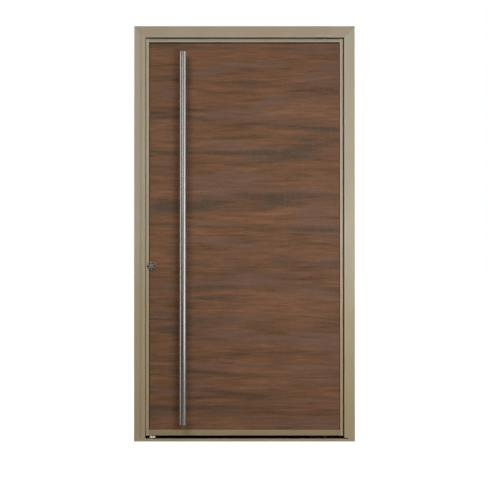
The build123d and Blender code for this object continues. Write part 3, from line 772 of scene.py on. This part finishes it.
keyCover = {
    "radius": 0.0125, "lobe": 0.0016, "height": 0.0042, "edge": 0.0011, "sunk": 0.0006, "turns": 96,
    "roll": 0.09,  # share of the radius that the round edge takes
    "crown": ((0.7, 0.0002), (0.4, 0.0004), (0.0, 0.0005)),  # (share of the radius, rise)
}


def keyholeCover(name):
    # A low swivelling cover over the keyhole, with six soft lobes: r = radius + lobe * cos(6 (a - start))
    centre = np.array([lockX, lockFace, lockZ])
    angle = ringAngles(keyCover["turns"])
    start = rosette["dimpleStart"] + np.pi / rosette["dimples"]
    outline = keyCover["radius"] + keyCover["lobe"] * np.cos(rosette["dimples"] * (angle - start))
    edge, height, sunk = keyCover["edge"], keyCover["height"], keyCover["sunk"]
    rows = [(0.0, -sunk), (1.0, -sunk), (1.0, height - edge)]
    for u, v in arcPoints(0, 0, 1.0, 0, 90, 6)[1:]:
        rows.append((1 - (1 - u) * keyCover["roll"], height - edge + v * edge))
    rows += [(share, height + rise) for share, rise in keyCover["crown"]]
    rings = []
    for share, h in rows:
        across, up = share * outline * np.cos(angle), share * outline * np.sin(angle)
        rings.append(centre + np.stack([across, np.full_like(angle, -h), up], -1))
    addPiece(name, skin(rings), "leaf", "brushed_stainless", "dullSteelPaintedReflection")


lockRosette("rosette_outside", -1)
lockRosette("rosette_inside", 1)
rosettePlugs("rosette_plugs")
keyholeCover("keyhole_cover")

lever = {
    "wall": 0.55, "groove": 0.90, "face": 0.98,  # shares of the disc's thickness
    "discEdge": 0.0034, "collar": 0.0155, "coveFace": 0.002, "coveFoot": 0.0012, "collarEase": 0.0008,
    "lead": 0.003, "bend": 0.022, "afterBend": 0.02, "beforeTip": 0.03, "endRound": 0.006,
    "discTurns": 96, "turns": 48,
}


def leverRosette(node):
    # A disc turned from a soft-edged profile, with a raised collar where the lever leaves it
    low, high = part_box(node)
    x, _, z = middleOf(node)
    radius, thick = (high.x - low.x) / 2, high.y - low.y
    edge, collar = lever["discEdge"], lever["collar"]
    face, groove = thick * lever["face"], thick * lever["groove"]
    profile = [(0, 0), (radius, 0), (radius, thick * lever["wall"])]
    profile += arcPoints(radius - edge, face - edge, edge, 0, 90, 8)
    profile += [(collar + lever["coveFace"], face), (collar + lever["coveFoot"], groove), (collar, groove)]
    profile += [(collar - lever["collarEase"], thick), (0, thick)]
    form = turnedGrid(profile, (x, low.y, z), (0, 1, 0), lever["discTurns"])
    addSteel(node, "_turned", form, "turnedSteel")


def leverBar(node):
    # A round bar along a path of two straights and an arc between them, with a domed far end
    low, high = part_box(node)
    x, y, z = middleOf("lever_rosette")[0], low.y, middleOf(node)[2]
    radius = (high.z - low.z) / 2
    gripY, endX = high.y - radius, high.x
    bend, dome = lever["bend"], lever["endRound"]
    turn = np.radians(np.linspace(0, 90, 14))
    swing = np.radians(np.linspace(0, 90, 7))
    lead = np.array([[x, y], [x, y + lever["lead"]], [x, (y + gripY - bend) / 2]])
    arc = np.stack([x + bend - bend * np.cos(turn), gripY - bend + bend * np.sin(turn)], -1)
    run = np.array([[x + bend + lever["afterBend"], gripY], [endX - dome - lever["beforeTip"], gripY]])
    tip = np.stack([endX - dome + dome * np.sin(swing), np.full_like(swing, gripY)], -1)
    path = np.concatenate([lead, arc, run, tip])
    heading = np.concatenate([np.zeros(len(lead)), turn, np.full(len(run) + len(tip), np.pi / 2)])
    whole = np.full(len(lead) + len(arc) + len(run), radius)
    size = np.concatenate([whole, radius - dome + dome * np.cos(swing)])
    around = ringAngles(lever["turns"])
    side = np.stack([np.cos(heading), -np.sin(heading), np.zeros_like(heading)], -1)
    points = np.concatenate([path, np.full((len(path), 1), z)], 1)[:, None, :]
    points = points + (size[:, None] * np.cos(around))[..., None] * side[:, None, :]
    points = points + (size[:, None] * np.sin(around))[..., None] * np.array([0, 0, 1.0])
    first = np.broadcast_to([x, y, z], (1, lever["turns"], 3))
    last = np.broadcast_to([endX, gripY, z], (1, lever["turns"], 3))
    addSteel(node, "_bent", skin(np.concatenate([first, points, last])), "groundSteel")


leverRosette("lever_rosette")
leverBar("lever_handle")

knob = {
    "power": 3.2, "turns": 64,
    # Round rings of the stem and the first ring of the wing as (half width, half height, depth)
    "stem": ((0.0, 0.0, 0.0), (0.006, 0.006, 0.0), (0.006, 0.006, 0.0070)),
    "neck": (0.0068, 0.0072, 0.0078),
    # Rings of the wing as (share of width, share of height, metres): from the leaf, then from the tip
    "shoulder": ((0.80, 0.86, 0.0090), (0.92, 0.95, 0.0104), (1.0, 1.0, 0.0130)),
    "end": ((0.70, 0.94, 0.0016), (0.62, 0.90, 0.0005), (0.48, 0.84, 0.0), (0.0, 0.0, 0.0)),
    # Rings of its waist, with a share of the depth as the third
    "waist": ((0.78, 0.985, 0.66), (0.74, 0.965, 0.82)),
}


def thumbKnob(node):
    # A round stem, then a wing: each section is a superellipse that swells, narrows and closes at the end
    low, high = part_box(node)
    x, _, z = middleOf(node)
    wide, tall, deep = (high.x - low.x) / 2, (high.z - low.z) / 2, high.y - low.y
    angle = ringAngles(knob["turns"])
    power = 2 / knob["power"]
    shapeX = np.sign(np.cos(angle)) * np.abs(np.cos(angle)) ** power
    shapeZ = np.sign(np.sin(angle)) * np.abs(np.sin(angle)) ** power
    wing = [knob["neck"]]
    wing += [(wide * u, tall * v, depth) for u, v, depth in knob["shoulder"]]
    wing += [(wide * u, tall * v, deep * share) for u, v, share in knob["waist"]]
    wing += [(wide * u, tall * v, deep - before) for u, v, before in knob["end"]]
    rings = []
    for u, v, rows in ((np.cos(angle), np.sin(angle), knob["stem"]), (shapeX, shapeZ, wing)):
        for halfX, halfZ, depth in rows:
            level = np.full_like(angle, low.y + depth)
            rings.append([x + halfX * u, level, z + halfZ * v])
    addSteel(node, "_wing", skin(np.transpose(rings, (0, 2, 1))), "groundSteel")


thumbKnob("thumb_turn")
print("lock furniture dressed")


# Screws

screw = {
    "radius": 0.0042, "crown": 0.0005, "sunk": 0.0004, "wall": 0.0001, "socket": 0.0021,
    "socketDepth": 0.0016, "lobes": 6, "lobeDepth": 0.16, "turns": 36,
}


def screwHead(centre, direction, radius):
    # A low crown with a six-lobed socket, whose edge is at socket * (1 + lobe depth * cos(6 a))
    along, side, up = axesFor(direction)
    angle = ringAngles(screw["turns"])
    scale = radius / screw["radius"]
    lobed = screw["socket"] * scale * (1 + screw["lobeDepth"] * np.cos(screw["lobes"] * angle))
    full = np.full_like(angle, radius)
    crown, deep = screw["crown"] * scale, screw["socketDepth"] * scale
    rows = [(full * 0.0, -screw["sunk"]), (full, -screw["sunk"]), (full, screw["wall"])]
    rows += [(full * 0.9, crown * 0.6), (full * 0.7, crown), (lobed * 1.08, crown)]
    rows += [(lobed, crown * 0.8), (lobed * 0.94, crown - deep), (lobed * 0.0, crown - deep)]
    ring = np.cos(angle)[:, None] * side + np.sin(angle)[:, None] * up
    return skin([np.asarray(centre) + h * along + r[:, None] * ring for r, h in rows])


def screwsOn(name, body, places, direction, radius=screw["radius"]):
    # The same screw head at several places
    form = joined([screwHead(place, direction, radius) for place in places])
    addPiece(name, form, body, "plain_steel", "zincSteel", 40)


# How far screws stay from a plate's ends and from a bolt's middle, and where they stand on the floor pivot
screwPlan = {
    "faceplateInset": 0.03, "faceplateCount": 7, "boltRoom": 0.065, "hookHalf": 0.025,
    "strikeInset": 0.013, "hookPlate": 0.110, "pivotSteps": (-0.050, -0.034, 0.034, 0.050),
    "pivotRadius": 0.0046,
}
plateLow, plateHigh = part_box("lock_faceplate")
plateY = (plateLow.y + plateHigh.y) / 2
hookBoltLow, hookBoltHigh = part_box("hook_bolts")
boltHeights = [middleOf("latch_bolt")[2], middleOf("dead_bolt")[2]]
boltHeights += [hookBoltLow.z + screwPlan["hookHalf"], hookBoltHigh.z - screwPlan["hookHalf"]]
inset = screwPlan["faceplateInset"]
faceScrews = []
for z in np.linspace(plateLow.z + inset, plateHigh.z - inset, screwPlan["faceplateCount"]):
    if all(abs(z - bolt) > screwPlan["boltRoom"] for bolt in boltHeights):
        faceScrews.append((plateLow.x, plateY, z))
screwsOn("faceplate_screws", "leaf", faceScrews, (-1, 0, 0))

strikeLow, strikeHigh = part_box("strike_plate_main")
hookLow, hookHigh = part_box("strike_plates_hook")
inset, hookPlate = screwPlan["strikeInset"], screwPlan["hookPlate"]
plates = [(strikeLow.z, strikeHigh.z), (hookLow.z, hookLow.z + hookPlate)]
plates.append((hookHigh.z - hookPlate, hookHigh.z))
strikeScrews = [(strikeHigh.x, plateY, z) for low, high in plates for z in (low + inset, high - inset)]
screwsOn("strike_screws", "frame", strikeScrews, (1, 0, 0))

pivotX, sillTop = middleOf("floor_pivot")[0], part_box("threshold_inner")[1].z
pivotScrews = [(pivotX + dx, 0.0, sillTop) for dx in screwPlan["pivotSteps"]]
screwsOn("floor_pivot_screws", "frame", pivotScrews, (0, 0, 1), screwPlan["pivotRadius"])
print("screws set")


# Seal lips along the stops

lip = {
    "bulb": 0.0016, "foot": 0.0052, "footThick": 0.0006, "bulbAt": 0.0009, "steps": 9,
    "endGap": 0.002, "topGap": 0.001, "bossGap": 0.005,
}


def sealLip(name, start, end, side, up):
    # A flat foot with a half-round bulb along its middle, carried from start to end
    foot, thick, bulb, at = lip["foot"], lip["footThick"], lip["bulb"], lip["bulbAt"]
    outline = [(-foot, 0.0), (foot, 0.0), (foot, thick), (bulb, at)]
    outline += arcPoints(0, at, bulb, 0, 180, lip["steps"])[1:] + [(-foot, thick)]
    addPiece(name, carriedGrid(outline, [start, end], side, up), "frame", "black_rubber", "blackRubber", 45)


sealLow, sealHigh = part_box("seal_lock_jamb")
sealX, sealTop = (sealLow.x + sealHigh.x) / 2, sealHigh.z - lip["topGap"]
lipEnds = (sealX, sealHigh.y, sealLow.z + lip["endGap"]), (sealX, sealHigh.y, sealTop)
sealLip("lock_seal_lip", *lipEnds, (1, 0, 0), (0, 1, 0))

headSealLow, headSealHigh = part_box("seal_head")
boss, sealY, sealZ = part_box("head_pivot")[0].x, headSealHigh.y, middleOf("seal_head")[2]
lipEnds = (headSealLow.x + lip["endGap"], sealY, sealZ), (boss - lip["bossGap"], sealY, sealZ)
sealLip("head_seal_lip", *lipEnds, (0, 0, -1), (0, 1, 0))

wiper = {
    "thick": 0.0022, "reach": 0.0042, "headReach": 0.0068, "bury": 0.003, "endGap": 0.001,
    "headEndGap": 0.0005, "pinGap": 0.0065, "overlap": 0.017, "steps": 6,
}


def hangingLip(start, end, reach):
    # A thin lip that hangs from a line, its lower edge rounded in a half circle
    half = wiper["thick"] / 2
    outline = [(half, wiper["bury"]), (-half, wiper["bury"])]
    outline += arcPoints(0, half - reach, half, 180, 360, wiper["steps"])
    return carriedGrid(outline, [start, end], (0, 1, 0), (0, 0, 1))


def wiperLip(name, node):
    # The lip under a drop seal, almost down to the sill
    low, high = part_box(node)
    middleY, gap = middleOf(node)[1], wiper["endGap"]
    start, end = (low.x + gap, middleY, low.z), (high.x - gap, middleY, low.z)
    addPiece(name, hangingLip(start, end, wiper["reach"]), "leaf", "black_rubber", "blackRubber", 45)


def headWiper(name):
    # Two lips under the head seal, one either side of the top pin, almost down to the leaf
    pinX, middleY, z = middleOf("head_pivot")[0], middleOf("seal_head")[1], headSealLow.z
    runs = [(boss - wiper["overlap"], pinX - wiper["pinGap"])]
    runs += [(pinX + wiper["pinGap"], headSealHigh.x - wiper["headEndGap"])]
    parts = [hangingLip((start, middleY, z), (end, middleY, z), wiper["headReach"]) for start, end in runs]
    addPiece(name, joined(parts), "frame", "black_rubber", "gapLightRubber", 45)


wiperLip("drop_seal_lip", "drop_seal")
wiperLip("drop_seal_pivot_side_lip", "drop_seal_pivot_side")
headWiper("head_wiper_lip")

pad = {
    "length": 0.016, "start": 0.036, "end": 0.049, "height": 0.0092, "round": 0.003,
    "sunk": 0.0003, "bury": 0.0005,
}


def sillEndPad(name):
    # A rubber pad on the sill against the pivot jamb, behind the drop seal, with quarter-round upper corners
    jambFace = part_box("jamb_pivot_inner")[0].x
    start, end, height, corner = pad["start"], pad["end"], pad["height"], pad["round"]
    outline = [(start, -pad["sunk"]), (end, -pad["sunk"])]
    outline += arcPoints(end - corner, height - corner, corner, 0, 90)
    outline += arcPoints(start + corner, height - corner, corner, 90, 180)
    path = [(jambFace - pad["length"], 0, sillTop), (jambFace + pad["bury"], 0, sillTop)]
    form = carriedGrid(outline, path, (0, 1, 0), (0, 0, 1))
    addPiece(name, form, "frame", "black_rubber", "blackRubber", 40)


sillEndPad("sill_end_pad")

trim = ("frame", "champagne_metal", "frameCoat")  # body, slot and finish
bead = {
    "lockWidth": 0.0038, "headWidth": 0.0016, "back": 0.004, "depth": 0.006, "sunk": 0.001,
    "lockEndGap": 0.0004, "headEndGap": 0.0005, "steps": 8,
}


def revealBead(name, width, start, end, side):
    # A quarter-round bead on the reveal beside the leaf: out = width * sin(a), back = depth * (1 - cos(a))
    back, depth = bead["back"], bead["depth"]
    outline = [(-bead["sunk"], back + depth), (-bead["sunk"], back)]
    outline += [(width * v, back + depth * (1 - u)) for u, v in arcPoints(0, 0, 1.0, 0, 90, bead["steps"])]
    form = carriedGrid(outline, [start, end], side, (0, 1, 0))
    addPiece(name, form, *trim, 45)


frontY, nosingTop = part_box("jamb_lock_outer")[0].y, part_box("threshold_nosing")[1].z
sideX, topZ = sealHigh.x, sealHigh.z
gap = bead["lockEndGap"]
ends = (sideX, frontY, nosingTop + gap), (sideX, frontY, topZ - gap)
revealBead("lock_reveal_bead", bead["lockWidth"], *ends, (1, 0, 0))
gap = bead["headEndGap"]
ends = (sideX + gap, frontY, topZ), (-sideX - gap, frontY, topZ)
revealBead("head_reveal_bead", bead["headWidth"], *ends, (0, 0, -1))
print("lips and beads set")


# Run-up piece under the lock corner

runUp = {
    "width": 0.0345, "depth": 0.020, "back": 0.010, "foot": 0.0044, "base": 0.0028,
    "hump": 0.0092, "edge": 0.0012, "taper": 0.95, "columns": 41,
}
runUpFoot = {"inset": 0.001, "overlap": 0.0004, "cut": 0.0008, "sunk": 0.0003}
runUpX, runUpLow = middleOf("run_up_block")[0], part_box("run_up_block")[0].z
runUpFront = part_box("threshold_nosing")[0].y + runUp["back"]


def runUpPiece(name):
    # Two humps: height = base + hump * |sin(2 pi u)|^0.8 across the piece, drawn in at its front and back
    footTop = runUpLow + runUp["foot"]
    edge, depth, taper = runUp["edge"], runUp["depth"], runUp["taper"]
    u = np.linspace(0, 1, runUp["columns"])
    height = runUp["base"] + runUp["hump"] * np.abs(np.sin(2 * np.pi * u)) ** 0.8
    height = np.concatenate([[0.0], height, [0.0]])
    across = np.concatenate([[-0.5], u - 0.5, [0.5]]) * runUp["width"]
    rows = []
    for y, scale in ((0.0, taper), (edge, 1.0), (depth - edge, 1.0), (depth, taper)):
        line = np.full_like(across, runUpFront + y)
        rows.append(np.stack([runUpX + across * scale, line, footTop + height * scale], -1))
    count = len(across)
    faces = gridFaces(len(rows), count).tolist()
    faces += [list(range(count)), [(len(rows) - 1) * count + i for i in range(count)][::-1]]
    piece = addPiece(name, (rows, faces), "frame", "white_plastic", "whiteAcetal", 35)
    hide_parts("run_up_block")


def runUpBase(name):
    # The low foot under the humps: a strip with bevelled upper edges
    inset, cut, sunk = runUpFoot["inset"], runUpFoot["cut"], runUpFoot["sunk"]
    half, tall = runUp["width"] / 2 - inset, runUp["foot"] + runUpFoot["overlap"]
    outline = [(-half, -sunk), (half, -sunk), (half, tall - cut), (half - cut, tall)]
    outline += [(-half + cut, tall), (-half, tall - cut)]
    start, end = runUpFront + inset, runUpFront + runUp["depth"] - inset
    path = [(runUpX, start, runUpLow), (runUpX, end, runUpLow)]
    form = carriedGrid(outline, path, (1, 0, 0), (0, 0, 1))
    addPiece(name, form, "frame", "black_plastic", "blackPlastic", 30)


runUpPiece("run_up_humps")
runUpBase("run_up_humps_foot")

cover = {
    "start": 0.427, "stop": 0.529, "height": 0.0100, "lift": 0.0036,
    "proud": 0.0012, "edge": 0.0006, "bury": 0.0005,
}


def headCover(name):
    # A slim cover plate low on the head, over the top pivot: a flat strip with bevelled long edges
    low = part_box("head_outer")[0]
    height, proud, edge, bury = cover["height"], cover["proud"], cover["edge"], cover["bury"]
    outline = [(0, bury), (0, -proud + edge), (edge, -proud)]
    outline += [(height - edge, -proud), (height, -proud + edge), (height, bury)]
    path = [(cover[end], low.y, low.z + cover["lift"]) for end in ("start", "stop")]
    form = carriedGrid(outline, path, (0, 0, 1), (0, 1, 0))
    addPiece(name, form, *trim, 30)


headCover("head_pivot_cover")
print("run-up piece and head cover set")


# Sill ribs and jamb caps

ribs = {
    "count": 5, "height": 0.0007, "width": 0.0022, "sunk": 0.0003,
    "jambGap": 0.004, "edgeGap": 0.009, "steps": 7,
}


def sillRibs(name):
    # Low ridges along the inner sill: each a half ellipse carried from jamb to jamb
    low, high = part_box("threshold_inner")
    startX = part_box("jamb_lock_inner")[1].x + ribs["jambGap"]
    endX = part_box("jamb_pivot_inner")[0].x - ribs["jambGap"]
    half = ribs["width"] / 2
    outline = [(-half, -ribs["sunk"]), (half, -ribs["sunk"])]
    outline += [(half * u, ribs["height"] * v) for u, v in arcPoints(0, 0, 1.0, 0, 180, ribs["steps"])]
    parts = []
    for y in np.linspace(low.y + ribs["edgeGap"], high.y - ribs["edgeGap"], ribs["count"]):
        parts.append(carriedGrid(outline, [(startX, y, high.z), (endX, y, high.z)], (0, 1, 0), (0, 0, 1)))
    addPiece(name, joined(parts), *trim, 50)


sillRibs("sill_ribs")

holeCap = {
    "radius": 0.0065, "height": 0.0012, "wall": 0.0002, "sunk": 0.0004, "turns": 32,
    "heights": (0.15, 0.85, 1.55, 2.25), "line": 0.043,
}


def coverCaps(name, faceX):
    # Shallow domes over the fixing holes: height falls with the square of the radius
    radius, wall, sunk = holeCap["radius"], holeCap["wall"], holeCap["sunk"]
    profile = [(0.0, -sunk), (radius, -sunk), (radius, wall)]
    profile += [(radius * s, wall + holeCap["height"] * (1 - s**2)) for s in np.linspace(1, 0, 7)[1:]]
    places = [(faceX, holeCap["line"], z) for z in holeCap["heights"]]
    form = joined([turnedGrid(profile, place, (1, 0, 0), holeCap["turns"]) for place in places])
    addPiece(name, form, *trim)


coverCaps("lock_jamb_caps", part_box("jamb_lock_inner")[1].x)
print("sill and jamb details set")
